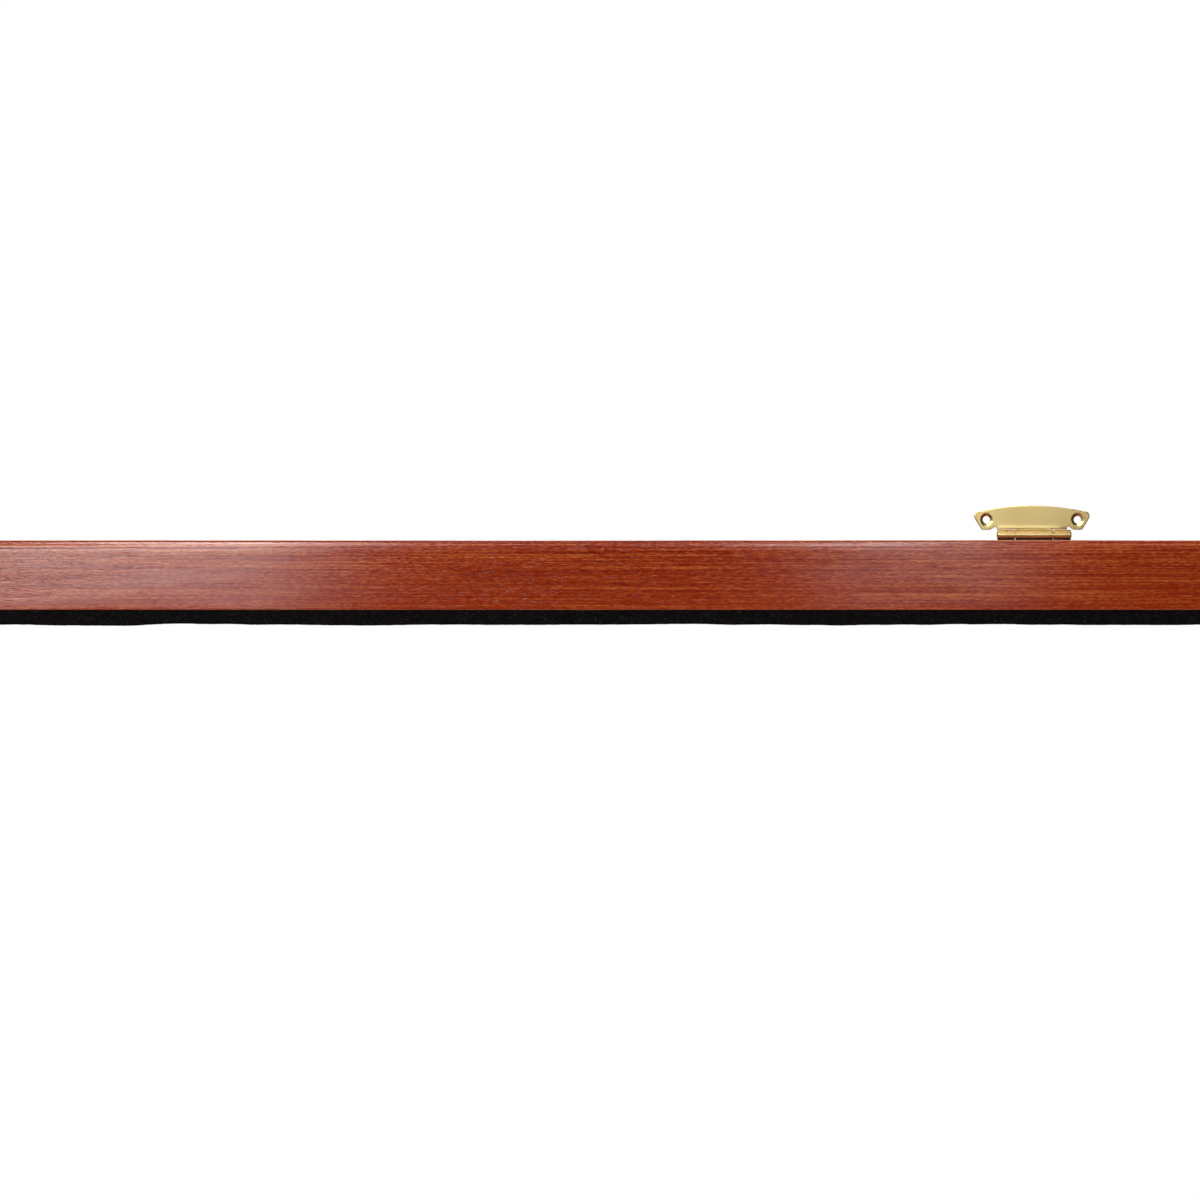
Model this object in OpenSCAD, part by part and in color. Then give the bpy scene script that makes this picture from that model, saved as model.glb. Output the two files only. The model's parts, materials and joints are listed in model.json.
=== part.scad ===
// Wall cue rack: a hinged keeper rail.
// The rail hangs from the wall on two hinges and its back rests against the wall.
// Cue shafts stand in felt-lined notches that open towards the wall, so the rail
// swings up and away from the wall to let the cues in and out. The notches are the
// gaps between blocks glued behind a front board, and laminate wraps the whole.
//
// X runs along the rail, Y points into the wall and Z is up. The origin is on the
// wall plane, midway between the hinges, on the line of the wall screw holes.

/* [Rail] */
// Number of cue notches
cue_count = 10; // [6:1:10]
// Distance between neighbouring cue notches
cue_pitch = 95; // [80:5:120]
// Distance from the last notch's centre to the end of the rail
end_margin = 72.5; // [60:0.5:100]
// Height of the rail's wooden part
rail_h = 42; // [40:0.5:60]
// Depth of the rail from its front to the wall
rail_d = 45; // [42:0.5:60]
// Height of the rounded upper front edge
round_r = 4.8; // [2:0.1:8]
// Step between the front face and the rounded edge
round_step = 0.4; // [0.2:0.1:1]
// Thickness of the wood laminate
wrap_t = 0.6; // [0.4:0.1:1]
// Thickness of the end caps
cap_t = 2; // [1:0.5:4]

/* [Cue notches] */
// Width of a notch between two blocks
notch_w = 24; // [20:1:28]
// Depth of a notch, measured from the wall
notch_depth = 26; // [20:1:30]
// Thickness of the felt that lines a notch
liner_t = 2; // [1:0.5:3]
// Outer radius of the bends in a notch's felt
liner_bend_r = 5; // [4:0.5:8]

/* [Felt base] */
// Thickness of the felt under the rail
felt_t = 8.5; // [4:0.1:12]
// Distance by which the felt stands back from the rail's front, back and ends
felt_setback = 0.8; // [0:0.1:3]

/* [Hinges] */
// Width of the wall wing over its ears
wing_w = 70; // [66:0.5:74]
// Length of the hinge barrel
barrel_l = 44.4; // [42:0.1:46]
// Outer radius of the barrel
barrel_r = 3.15; // [3:0.05:3.3]
// Thickness of the hinge plate
plate_t = 1.6; // [1.4:0.1:1.6]
// Distance between the two wall screw holes of a hinge
wall_hole_spacing = 55.2; // [54:0.2:56]
// Radius of the wall screw holes
wall_hole_r = 2.2; // [1.8:0.1:2.4]

/* [Hidden] */
$fn = 96;

rail_len = (cue_count - 1) * cue_pitch + 2 * end_margin;
core_len = rail_len - 2 * cap_t;

// Heights, counted from the line of the wall screw holes
pin_z = -9.2;
rail_top = -12.7;
rail_bottom = rail_top - rail_h;
felt_bottom = rail_bottom - felt_t;

// Pin and knuckles
pin_r = 1.5;
pin_y = -barrel_r;
pin_clearance = 0.05;
pin_head_r = 2.1;
pin_head_t = 0.5;
centre_knuckle_l = 22.8;
knuckle_gap = 0.5;
// The barrel stands this far outwards of its wall wing's middle
barrel_shift = 1.2;
outer_knuckle_x = centre_knuckle_l / 2 + knuckle_gap;

// Wall wing outline
arch_top = 8.6;
arch_r = 145;
ear_corner_r = 3;
ear_corner_x = wing_w / 2 - ear_corner_r;
ear_corner_z = 2.2;
ear_foot_r = 1.5;
ear_foot_x = 29.6;
ear_foot_z = -4.6;
ear_bottom_z = ear_foot_z - ear_foot_r;
ear_inner_x = 25.6;
relief_r = 0.9;
relief_x = 22.3;
relief_z = -5.1;
neck_x = relief_x - relief_r;
neck_bottom_z = -5.9;

// Rail wing
rail_wing_bottom = -38;
rail_wing_window_top = pin_z - barrel_r - knuckle_gap;
mortise_slack = 0.25;
hinge_land = cue_count / 2 - 1;
hinge_x = hinge_land * cue_pitch;

// Countersinks and wood screws
countersink_r = 3.8;
countersink_depth = 1.1;
rail_screw_x = 14;
rail_screw_z = -27;
screw_head_r = 3.5;
screw_head_t = 1.5;
screw_neck_r = screw_head_r - screw_head_t;
screw_shank_r = 1.75;
screw_len = 17;
screw_point_l = 3;
screw_point_r = 0.3;

// Cutters reach this far past the faces that they open
over = 1;

HINGE_PIECES = ["wall_wing", "rail_wing", "pin", "rail_screws"];
SIDES = [["left", -1], ["right", 1]];

MAHOGANY = [0.56, 0.22, 0.12];
FIBREBOARD = [0.55, 0.42, 0.30];
FELT = [0.05, 0.05, 0.055];
BRASS = [0.78, 0.68, 0.42];
PALE_BRASS = [0.72, 0.66, 0.48];

function cue_x(i) = (i - (cue_count + 1) / 2) * cue_pitch;

// Left and right edges of the land with number k, which lies between two notches
// or between a notch and the rail's end.
function land_left(k, margin) = k == 1 ? -margin : cue_x(k - 1) + notch_w / 2;
function land_right(k, margin) = k == cue_count + 1 ? margin : cue_x(k) - notch_w / 2;

function arc(centre, r, from, to, steps) =
    [for (k = [0:steps])
        let (a = from + (to - from) * k / steps)
        centre + r * [cos(a), sin(a)]];

function flipped(points) = [for (k = [len(points) - 1:-1:0]) [-points[k][0], points[k][1]]];

// Runs a profile drawn in the Y-Z plane along X, centred on X = 0.
module along_x(length) {
    rotate([90, 0, 90])
        translate([0, 0, -length / 2])
            linear_extrude(length) children();
}

// Extrudes an outline drawn in the X-Z plane from the wall plane forwards.
module from_wall(thickness) {
    rotate([90, 0, 0]) linear_extrude(thickness) children();
}

// A cylinder whose axis lies along X, on the hinge axis.
module on_pin_axis(r, length) {
    translate([0, pin_y, pin_z])
        rotate([0, 90, 0])
            cylinder(r = r, h = length, center = true);
}

// Middle of a hinge's wall wing.
module at_wing(side) {
    translate([side * hinge_x, 0, 0]) children();
}

// Middle of a hinge's barrel and of its rail wing.
module at_barrel(side) {
    translate([side * (hinge_x + barrel_shift), 0, 0]) children();
}

// ---- Rail -------------------------------------------------------------------

// Section of the rail, drawn inside its outer faces by inset.
module rail_section(inset) {
    front = -rail_d + inset;
    top = rail_top - inset;
    round_z = rail_top - round_r;
    round_y = -rail_d + round_step + round_r;
    face_h = round_z - inset - rail_bottom;
    translate([front, rail_bottom]) square([-front, face_h]);
    translate([front + round_step, rail_bottom]) square([-front - round_step, face_h + inset]);
    translate([round_y, rail_bottom]) square([-round_y, top - rail_bottom]);
    translate([round_y, round_z]) circle(r = round_r - inset);
}

// The space of all the cue notches, from low to high.
module all_notches(low, high) {
    for (i = [1:cue_count])
        translate([cue_x(i) - notch_w / 2, -notch_depth, low])
            cube([notch_w, notch_depth + over, high - low]);
}

// Recess in the rail's back and top that takes a hinge's rail wing.
module mortise() {
    w = barrel_l + 2 * mortise_slack;
    low = rail_wing_bottom - mortise_slack;
    translate([-w / 2, -plate_t, low]) cube([w, plate_t + over, rail_top + over - low]);
}

module front_board() {
    color(FIBREBOARD)
        along_x(core_len) intersection() {
            rail_section(wrap_t);
            translate([-rail_d, rail_bottom - over]) square([rail_d - notch_depth, rail_h + 2 * over]);
        }
}

// Block with number k, counted from the left, glued behind the front board.
module rail_block(k) {
    left = land_left(k, core_len / 2);
    width = land_right(k, core_len / 2) - left;
    color(FIBREBOARD)
        difference() {
            translate([left, -notch_depth, rail_bottom]) cube([width, notch_depth, rail_h - wrap_t]);
            for (side = SIDES) at_barrel(side[1]) {
                mortise();
                rail_screw_bodies();
            }
        }
}

module rail_wrap() {
    color(MAHOGANY)
        difference() {
            along_x(core_len) difference() {
                rail_section(0);
                rail_section(wrap_t);
                translate([-rail_d + wrap_t, rail_bottom - over])
                    square([rail_d, over + wrap_t]);
            }
            all_notches(rail_bottom - over, rail_top + over);
            for (side = SIDES) at_barrel(side[1]) mortise();
        }
}

module end_cap(side) {
    color(MAHOGANY)
        translate([side * (rail_len - cap_t) / 2, 0, 0])
            along_x(cap_t) rail_section(0);
}

// Felt under the front board. It covers the lower edges of the notches' felt.
module felt_strip() {
    length = rail_len - 2 * felt_setback;
    depth = rail_d - notch_depth - felt_setback + liner_t;
    color(FELT)
        translate([-length / 2, -rail_d + felt_setback, felt_bottom])
            cube([length, depth, felt_t]);
}

// Felt under the block with number k, behind the felt strip.
module felt_pad(k) {
    end = rail_len / 2 - felt_setback;
    left = max(-end, land_left(k, end) - liner_t);
    right = min(end, land_right(k, end) + liner_t);
    depth = notch_depth - liner_t - felt_setback;
    color(FELT)
        translate([left, -felt_setback - depth, felt_bottom])
            cube([right - left, depth, felt_t]);
}

// Plan of a notch with bends at its inner corners, drawn inside its walls by inset.
module notch_plan(inset) {
    half = notch_w / 2 - inset;
    bend_r = liner_bend_r - inset;
    bend_y = -notch_depth + liner_bend_r;
    translate([-half, bend_y]) square([2 * half, -bend_y + (inset > 0 ? over : 0)]);
    translate([-half + bend_r, -notch_depth + inset]) square([2 * (half - bend_r), liner_bend_r]);
    for (s = [-1, 1]) translate([s * (half - bend_r), bend_y]) circle(r = bend_r);
}

// Felt channel that lines the notch with number i, flush with the rail's top.
module cue_liner(i) {
    color(FELT)
        translate([cue_x(i), 0, rail_bottom])
            linear_extrude(rail_h) difference() {
                notch_plan(0);
                notch_plan(liner_t);
            }
}

// ---- Hinges -----------------------------------------------------------------

// Right half of the wall wing's outline, from the neck round the ear to the arch.
function wing_half() = concat(
    [[neck_x, neck_bottom_z]],
    arc([relief_x, relief_z], relief_r, 180, 10, 12),
    [[ear_inner_x, ear_bottom_z]],
    arc([ear_foot_x, ear_foot_z], ear_foot_r, -90, -30, 8),
    arc([ear_corner_x, ear_corner_z], ear_corner_r, -28, 78, 12),
    arch_points()
);

// The arched top edge, from the ear's corner to the middle.
function arch_points() =
    let (start = asin((ear_corner_x - 1) / arch_r))
    arc([0, arch_top - arch_r], arch_r, 90 - start, 90, 16);

module wing_outline() {
    half = wing_half();
    last = len(half) - 1;
    middle_left_out = [for (k = [0:last - 1]) half[k]];
    polygon(concat(half, flipped(middle_left_out)));
}

module countersunk_hole() {
    translate([0, over, 0]) rotate([90, 0, 0]) cylinder(r = wall_hole_r, h = plate_t + 2 * over);
    translate([0, -plate_t + countersink_depth, 0])
        rotate([90, 0, 0])
            cylinder(r1 = wall_hole_r, r2 = countersink_r, h = countersink_depth);
}

// Screwed to the wall; its plate rolls forwards into the middle knuckle.
module wall_wing(side) {
    color(BRASS)
        difference() {
            union() {
                at_wing(side) from_wall(plate_t) wing_outline();
                at_barrel(side) centre_knuckle();
            }
            at_barrel(side) on_pin_axis(pin_r + pin_clearance, barrel_l);
            at_wing(side)
                for (s = [-1, 1]) translate([s * wall_hole_spacing / 2, 0, 0]) countersunk_hole();
        }
}

// The part of the plate under the wing's neck, and the barrel's middle third.
module centre_knuckle() {
    translate([-centre_knuckle_l / 2, -plate_t, pin_z])
        cube([centre_knuckle_l, plate_t, neck_bottom_z + over - pin_z]);
    on_pin_axis(barrel_r, centre_knuckle_l);
}

// Let into the rail's back; it carries the two outer knuckles.
module rail_wing(side) {
    color(BRASS)
        at_barrel(side)
            difference() {
                union() {
                    translate([-barrel_l / 2, -plate_t, rail_wing_bottom])
                        cube([barrel_l, plate_t, pin_z - rail_wing_bottom]);
                    on_pin_axis(barrel_r, barrel_l);
                }
                on_pin_axis(pin_r, barrel_l + 2 * over);
                centre_window();
                for (s = [-1, 1]) translate([s * rail_screw_x, 0, rail_screw_z]) screw_hole();
            }
}

// Gap between the rail wing's outer knuckles, in which the middle knuckle turns.
module centre_window() {
    top = pin_z + barrel_r + over;
    translate([-outer_knuckle_x, -2 * barrel_r - over, rail_wing_window_top])
        cube([2 * outer_knuckle_x, 2 * (barrel_r + over), top - rail_wing_window_top]);
}

// Hole and countersink in the rail wing, opening towards the wall.
module screw_hole() {
    rotate([90, 0, 0]) cylinder(r1 = screw_head_r, r2 = screw_neck_r, h = screw_head_t);
    rotate([90, 0, 0]) cylinder(r = screw_neck_r, h = plate_t + over);
}

module hinge_pin(side) {
    color(PALE_BRASS)
        at_barrel(side) {
            on_pin_axis(pin_r, barrel_l);
            for (s = [-1, 1])
                translate([s * (barrel_l + pin_head_t) / 2, 0, 0])
                    on_pin_axis(pin_head_r, pin_head_t);
        }
}

// One countersunk wood screw, driven forwards from the wall plane.
module wood_screw() {
    rotate([90, 0, 0]) {
        cylinder(r1 = screw_head_r, r2 = screw_neck_r, h = screw_head_t);
        translate([0, 0, screw_head_t])
            cylinder(r = screw_shank_r, h = screw_len - screw_head_t - screw_point_l);
        translate([0, 0, screw_len - screw_point_l])
            cylinder(r1 = screw_shank_r, r2 = screw_point_r, h = screw_point_l);
    }
}

module rail_screw_bodies() {
    for (s = [-1, 1]) translate([s * rail_screw_x, 0, rail_screw_z]) wood_screw();
}

module rail_screws(side) {
    color(PALE_BRASS) at_barrel(side) rail_screw_bodies();
}

// ---- Assembly ---------------------------------------------------------------

front_board();
rail_wrap();
end_cap(-1);  // end_cap_left
end_cap(1);  // end_cap_right
felt_strip();
for (k = [1:cue_count + 1]) {
    rail_block(k);
    felt_pad(k);
}
for (i = [1:cue_count]) {
    cue_liner(i);
}
for (side = SIDES) {
    wall_wing(side[1]);
    rail_wing(side[1]);
    hinge_pin(side[1]);
    rail_screws(side[1]);
}
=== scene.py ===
"""Looks for the hinged keeper rail of a wall cue rack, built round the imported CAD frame.

Everything is in metres in the row frame: X along the rail, Y into the wall, Z up.
Helpers that draw a section or an outline work in millimetres and say so.
"""

import json
import math

import bmesh
import bpy
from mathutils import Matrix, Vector, noise

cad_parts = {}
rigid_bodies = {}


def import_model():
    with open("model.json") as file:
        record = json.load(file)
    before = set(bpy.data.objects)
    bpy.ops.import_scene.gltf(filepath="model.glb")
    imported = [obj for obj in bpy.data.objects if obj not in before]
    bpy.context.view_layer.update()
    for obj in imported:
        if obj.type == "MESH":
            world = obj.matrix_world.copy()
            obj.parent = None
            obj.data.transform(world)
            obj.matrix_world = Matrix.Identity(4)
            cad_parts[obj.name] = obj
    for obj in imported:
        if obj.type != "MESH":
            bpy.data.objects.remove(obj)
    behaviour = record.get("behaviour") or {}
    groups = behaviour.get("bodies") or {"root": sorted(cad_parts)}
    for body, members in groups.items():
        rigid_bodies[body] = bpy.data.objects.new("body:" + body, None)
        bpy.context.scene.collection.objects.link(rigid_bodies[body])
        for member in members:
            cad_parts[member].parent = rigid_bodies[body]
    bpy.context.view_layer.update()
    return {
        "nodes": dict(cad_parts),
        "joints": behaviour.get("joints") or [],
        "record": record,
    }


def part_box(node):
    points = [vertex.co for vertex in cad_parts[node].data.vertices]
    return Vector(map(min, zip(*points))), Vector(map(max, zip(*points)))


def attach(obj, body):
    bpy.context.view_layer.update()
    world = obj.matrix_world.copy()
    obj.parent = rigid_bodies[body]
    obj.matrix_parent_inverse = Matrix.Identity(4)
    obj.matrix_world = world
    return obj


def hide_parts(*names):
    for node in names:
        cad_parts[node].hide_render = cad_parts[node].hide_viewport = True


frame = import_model()

MM = 0.001

# ---- What the frame says -----------------------------------------------------

WRAP_LOW, WRAP_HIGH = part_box("rail_wrap")
BOARD_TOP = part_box("front_board")[1].z
LINER_LOW, LINER_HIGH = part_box("cue_liner_1")
JOINT = frame["joints"][0]
PIN_Y, PIN_Z = JOINT["pos_m"][1:]
MOUNTS = {m["name"]: m for m in frame["record"]["mounts"]}
OUTER_HOLES = MOUNTS["wall_screws_outer"]["dims"]
INNER_HOLES = MOUNTS["wall_screws_inner"]["dims"]
SIDES = ("left", "right")
CUE_COUNT = sum(name.startswith("cue_liner_") for name in frame["nodes"])
WALL, RAIL = JOINT["parent"], JOINT["child"]

RAIL_TOP, RAIL_BOTTOM, RAIL_FRONT = WRAP_HIGH.z, WRAP_LOW.z, WRAP_LOW.y
LAMINATE = WRAP_HIGH.z - BOARD_TOP
NOTCH_WIDTH = LINER_HIGH.x - LINER_LOW.x
NOTCH_DEPTH = LINER_HIGH.y - LINER_LOW.y
# The pin's axis lies in front of the wall by the barrel's radius
BARREL_R = -PIN_Y

# ---- Sizes that the frame's boxes don't give ----------------------------------

# The rounded front edge, and how far it stands back from the rail's flat front
ROUND_R = 4.8 * MM
ROUND_STEP = 0.4 * MM
LINER_T = 2 * MM
LINER_BEND_R = 5 * MM
PLATE_T = 1.6 * MM
KNUCKLE_BORE_R = 1.55 * MM
PIN_R = 1.5 * MM
HOLE_R = OUTER_HOLES["hole_r_mm"] * MM
HOLE_SPACING = (OUTER_HOLES["spacing_x_mm"] - INNER_HOLES["spacing_x_mm"]) / 2 * MM


def middle_of(name):
    """Middle of a CAD node's box."""
    low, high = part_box(name)
    return (low + high) / 2


WING_X = {side: middle_of(f"hinge_{side}_wall_wing").x for side in SIDES}
BARREL_X = {side: middle_of(f"hinge_{side}_pin").x for side in SIDES}


# ---- Mesh helpers --------------------------------------------------------------

# Pieces smoothed over wider angles than this are felt
HARD_SURFACE_DEG = 45
# Points closer together than this are one point
SAME_PLACE = 1e-7
# A mitre is never longer than the inset over this
SHARPEST_MITRE = 0.35


def new_object(name, bm, material, smooth_deg=35):
    """Links a bmesh as an object, smooth except over edges sharper than smooth_deg."""
    bmesh.ops.recalc_face_normals(bm, faces=bm.faces)
    mesh = bpy.data.meshes.new(name)
    bm.to_mesh(mesh)
    bm.free()
    obj = bpy.data.objects.new(name, mesh)
    bpy.context.scene.collection.objects.link(obj)
    mesh.materials.append(material)
    shade(obj, smooth_deg)
    return obj


def shade(obj, smooth_deg):
    """Smooth shading whose normals stay true on the large faces, next to their rounded edges."""
    obj.data.shade_smooth()
    obj.data.set_sharp_from_angle(angle=math.radians(smooth_deg))
    if smooth_deg <= HARD_SURFACE_DEG:
        weighted = obj.modifiers.new("normals", "WEIGHTED_NORMAL")
        weighted.weight = 100
        weighted.keep_sharp = True


def finish_piece(obj, body, slot, *nodes):
    """Hangs a finished piece on the body that it rides on and hides the CAD nodes that it stands for. slot
    is not used.
    """
    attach(obj, body)
    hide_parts(*nodes)


def cut(obj, cutters, operation="DIFFERENCE", smooth_deg=35):
    """Applies a boolean with each cutter and removes the cutters."""
    obj.modifiers.clear()
    for cutter in cutters:
        modifier = obj.modifiers.new("cut", "BOOLEAN")
        modifier.operation = operation
        modifier.object = cutter
        modifier.solver = "EXACT"
    bake_modifiers(obj)
    for cutter in cutters:
        bpy.data.objects.remove(cutter)
    shade(obj, smooth_deg)


def bake_modifiers(obj):
    """Replaces an object's mesh by what its modifiers make of it."""
    graph = bpy.context.evaluated_depsgraph_get()
    mesh = bpy.data.meshes.new_from_object(obj.evaluated_get(graph))
    obj.modifiers.clear()
    old = obj.data
    obj.data = mesh
    mesh.name = obj.name
    bpy.data.meshes.remove(old)


def arc(centre, radius, start_deg, end_deg, steps):
    """Points along an arc, both ends included."""
    points = []
    for k in range(steps + 1):
        a = math.radians(start_deg + (end_deg - start_deg) * k / steps)
        points.append((centre[0] + radius * math.cos(a), centre[1] + radius * math.sin(a)))
    return points


def line(start, end, step):
    """Points from start to end, both included, at most step apart."""
    steps = max(1, math.ceil(math.dist(start, end) / step))
    return [
        (
            start[0] + (end[0] - start[0]) * k / steps,
            start[1] + (end[1] - start[1]) * k / steps,
        )
        for k in range(steps + 1)
    ]


def without_repeats(points, closed=True):
    """Drops points that lie on the one before them."""
    kept = []
    for p in points:
        if not kept or math.dist(p, kept[-1]) > SAME_PLACE:
            kept.append(p)
    if closed and math.dist(kept[0], kept[-1]) <= SAME_PLACE:
        kept.pop()
    return kept


def signed_area(loop):
    """Area inside a closed loop, positive if it runs anticlockwise."""
    return sum(a[0] * b[1] - b[0] * a[1] for a, b in zip(loop, loop[1:] + loop[:1])) / 2


def offset_loop(loop, inset):
    """The closed loop moved inwards by inset, point by point along its mitres."""
    if inset == 0:
        return list(loop)
    turn = 1 if signed_area(loop) > 0 else -1
    moved = []
    for before, here, after in zip(loop[-1:] + loop[:-1], loop, loop[1:] + loop[:1]):
        d1 = Vector((here[0] - before[0], here[1] - before[1])).normalized()
        d2 = Vector((after[0] - here[0], after[1] - here[1])).normalized()
        n1, n2 = Vector((-d1.y, d1.x)) * turn, Vector((-d2.y, d2.x)) * turn
        mitre = (n1 + n2) / max(SHARPEST_MITRE, 1 + n1.dot(n2))
        moved.append((here[0] + mitre.x * inset, here[1] + mitre.y * inset))
    return moved


def loft(bm, rings, close_ends=True):
    """Joins rings of equally many points with quads. Returns the rings' vertices."""
    verts = [[bm.verts.new(p) for p in ring] for ring in rings]
    for low, high in zip(verts, verts[1:]):
        for k in range(len(low)):
            n = (k + 1) % len(low)
            bm.faces.new((low[k], low[n], high[n], high[k]))
    if close_ends:
        bm.faces.new(verts[0])
        bm.faces.new(verts[-1])
    return verts


def eased_stations(low, high, ease, steps=3):
    """(inset, height) pairs for a slab from low to high whose two rims are rounded with radius ease."""
    rise = []
    for k in range(steps + 1):
        a = math.radians(90 * k / steps)
        rise.append((ease * (1 - math.sin(a)), ease * (1 - math.cos(a))))
    return [(i, low + h) for i, h in rise] + [(i, high - h) for i, h in reversed(rise)]


def slab(loop, stations, place):
    """A bmesh of a loop extruded through (inset, height) stations. place maps (a, b, height) to a point."""
    bm = bmesh.new()
    loft(bm, [[place(a, b, h) for a, b in offset_loop(loop, inset)] for inset, h in stations])
    return bm


def along_x(a, b, height):
    """Section coordinates (y, z) and a height along X."""
    return Vector((height, a, b))


def from_wall(a, b, height):
    """Outline coordinates (x, z) and a distance in front of the wall plane."""
    return Vector((a, -height, b))


def lathe(profile, place, steps=48):
    """A closed turned shape. profile is (radius, height) pairs from one end of the axis to the other."""
    bm = bmesh.new()
    turn = [2 * math.pi * k / steps for k in range(steps)]
    rings = []
    for radius, height in profile:
        if radius == 0:
            points = [(0, 0)]
        else:
            points = [(radius * math.cos(a), radius * math.sin(a)) for a in turn]
        rings.append([bm.verts.new(place(a, b, height)) for a, b in points])
    for low, high in zip(rings, rings[1:]):
        for k in range(steps):
            n = (k + 1) % steps
            corners = [low[k % len(low)], low[n % len(low)], high[n % len(high)], high[k % len(high)]]
            bm.faces.new(list(dict.fromkeys(corners)))
    for ring in (rings[0], rings[-1]):
        if len(ring) > 1:
            bm.faces.new(ring)
    return bm


def box_cutter(low, high):
    """Cutter in the shape of a box with these two corners."""
    bm = bmesh.new()
    loop = [(low[0], low[1]), (high[0], low[1]), (high[0], high[1]), (low[0], high[1])]
    loft(bm, [[Vector((x, y, z)) for x, y in loop] for z in (low[2], high[2])])
    return new_object("cutter", bm, None)


# Where a felt slab's rounded rim has its rows, as shares of the rim's width
RIM_ROWS = (0, 0.12, 0.4, 0.7)


def spaced(low, high, ease, cell):
    """Places from low to high: close in the two rounded rims and about a cell apart between them."""
    steps = max(1, round((high - low - 2 * ease) / cell))
    middle = [low + ease + (high - low - 2 * ease) * k / steps for k in range(steps + 1)]
    return [low + ease * r for r in RIM_ROWS] + middle + [high - ease * r for r in reversed(RIM_ROWS)]


def felt_slab(size_low, size_high, ease, cell, shape):
    """A rounded slab with a fine grid on every side. shape(point, normal) moves each point to its place."""
    axes = [spaced(a, b, ease, c) for a, b, c in zip(size_low, size_high, cell)]
    last = [len(a) - 1 for a in axes]
    bm = bmesh.new()
    verts = {}

    def vert(i, j, k):
        if (i, j, k) not in verts:
            p = Vector((axes[0][i], axes[1][j], axes[2][k]))
            core = Vector([min(max(c, a + ease), b - ease) for c, a, b in zip(p, size_low, size_high)])
            normal = (p - core).normalized()
            verts[i, j, k] = bm.verts.new(shape(core + normal * ease, normal))
        return verts[i, j, k]

    for axis in range(3):
        u, v = (axis + 1) % 3, (axis + 2) % 3
        for end in (0, last[axis]):
            for a in range(last[u]):
                for b in range(last[v]):
                    corners = []
                    for da, db in ((0, 0), (1, 0), (1, 1), (0, 1)):
                        place = [0, 0, 0]
                        place[axis], place[u], place[v] = end, a + da, b + db
                        corners.append(vert(*place))
                    bm.faces.new(corners)
    return bm


def fbm(point, size, seed, octaves=3):
    """Smooth noise, about -1 to 1, whose largest lumps are about size across."""
    fall_off, finer = 0.6, 2.0
    return noise.fractal(point / size + Vector((seed, 0, 0)), fall_off, finer, octaves)


# ---- Materials -----------------------------------------------------------------


def add_node(tree, kind, inputs=(), **settings):
    """A new node. Each of its inputs is given as a value or as another node's output."""
    made = tree.nodes.new(kind)
    for key, value in settings.items():
        setattr(made, key, value)
    for key, value in dict(inputs).items():
        if isinstance(value, bpy.types.NodeSocket):
            tree.links.new(value, made.inputs[key])
        else:
            made.inputs[key].default_value = value
    return made


class Surface:
    """A Principled material with short names for the nodes that it is built from."""

    def __init__(self, name, **sockets):
        self.material = bpy.data.materials.new(name)
        self.material.use_nodes = True
        self.tree = self.material.node_tree
        self.shader = self.tree.nodes["Principled BSDF"]
        for socket, value in sockets.items():
            self.shader.inputs[socket.replace("_", " ")].default_value = value
        self.place = self.add("ShaderNodeTexCoord").outputs["Object"]

    def add(self, kind, inputs=(), **settings):
        return add_node(self.tree, kind, inputs, **settings)

    def height(self):
        """Height in the row frame, in metres."""
        return self.add("ShaderNodeSeparateXYZ", {0: self.place}).outputs[2]

    def scaled(self, x, y, z, shift=0.0):
        """Object coordinates times a scale for each axis, so that a unit is one lump of noise."""
        inputs = {"Vector": self.place, "Scale": (x, y, z), "Location": (shift, shift, shift)}
        return self.add("ShaderNodeMapping", inputs).outputs["Vector"]

    def noise(self, where, detail=3.0, rough=0.55, distort=0.0, output="Fac"):
        """Noise of unit lumps at the scaled coordinates, as a number or, from its Color, as a vector."""
        inputs = {"Vector": where, "Scale": 1.0}
        inputs.update({"Detail": detail, "Roughness": rough, "Distortion": distort})
        return self.add("ShaderNodeTexNoise", inputs).outputs[output]

    def ramp(self, value, low, high, to_low=0.0, to_high=1.0):
        """value taken from the range low..high to to_low..to_high, clamped."""
        inputs = {"Value": value, "From Min": low, "From Max": high, "To Min": to_low, "To Max": to_high}
        return self.add("ShaderNodeMapRange", inputs).outputs["Result"]

    def blend(self, fac, a, b):
        """Colour a where fac is 0 and b where it is 1. The Mix node's colours are its inputs 6 and 7."""
        return self.add("ShaderNodeMix", {0: fac, 6: a, 7: b}, data_type="RGBA").outputs[2]

    def maths(self, operation, a, b):
        """A sum, difference or product of two numbers."""
        return self.add("ShaderNodeMath", {0: a, 1: b}, operation=operation).outputs[0]

    def vector(self, operation, a, b):
        """A sum, difference or product of two vectors."""
        return self.add("ShaderNodeVectorMath", {0: a, 1: b}, operation=operation).outputs[0]

    def bump(self, height, distance, strength, onto=None):
        """A normal for relief distance high, on top of the relief of the normal onto."""
        inputs = {"Height": height, "Distance": distance, "Strength": strength}
        if onto is not None:
            inputs["Normal"] = onto
        return self.add("ShaderNodeBump", inputs).outputs["Normal"]

    def drive(self, **links):
        """Links the shader's sockets and gives the finished material."""
        for socket, value in links.items():
            self.tree.links.new(value, self.shader.inputs[socket.replace("_", " ")])
        return self.material


def rgb(r, g, b):
    """A colour given in sRGB, 0 to 255, as linear RGBA."""
    shares = (r / 255, g / 255, b / 255)
    linear = [c / 12.92 if c <= 0.04045 else ((c + 0.055) / 1.055) ** 2.4 for c in shares]
    return (*linear, 1.0)


WOOD_GROUND, WOOD_LIGHT = rgb(134, 41, 10), rgb(170, 87, 34)
WOOD_DARK, WOOD_PORE = rgb(88, 14, 2), rgb(60, 11, 3)
# How far the grain wanders from a straight line
GRAIN_DRIFT = 4 * MM


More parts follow.
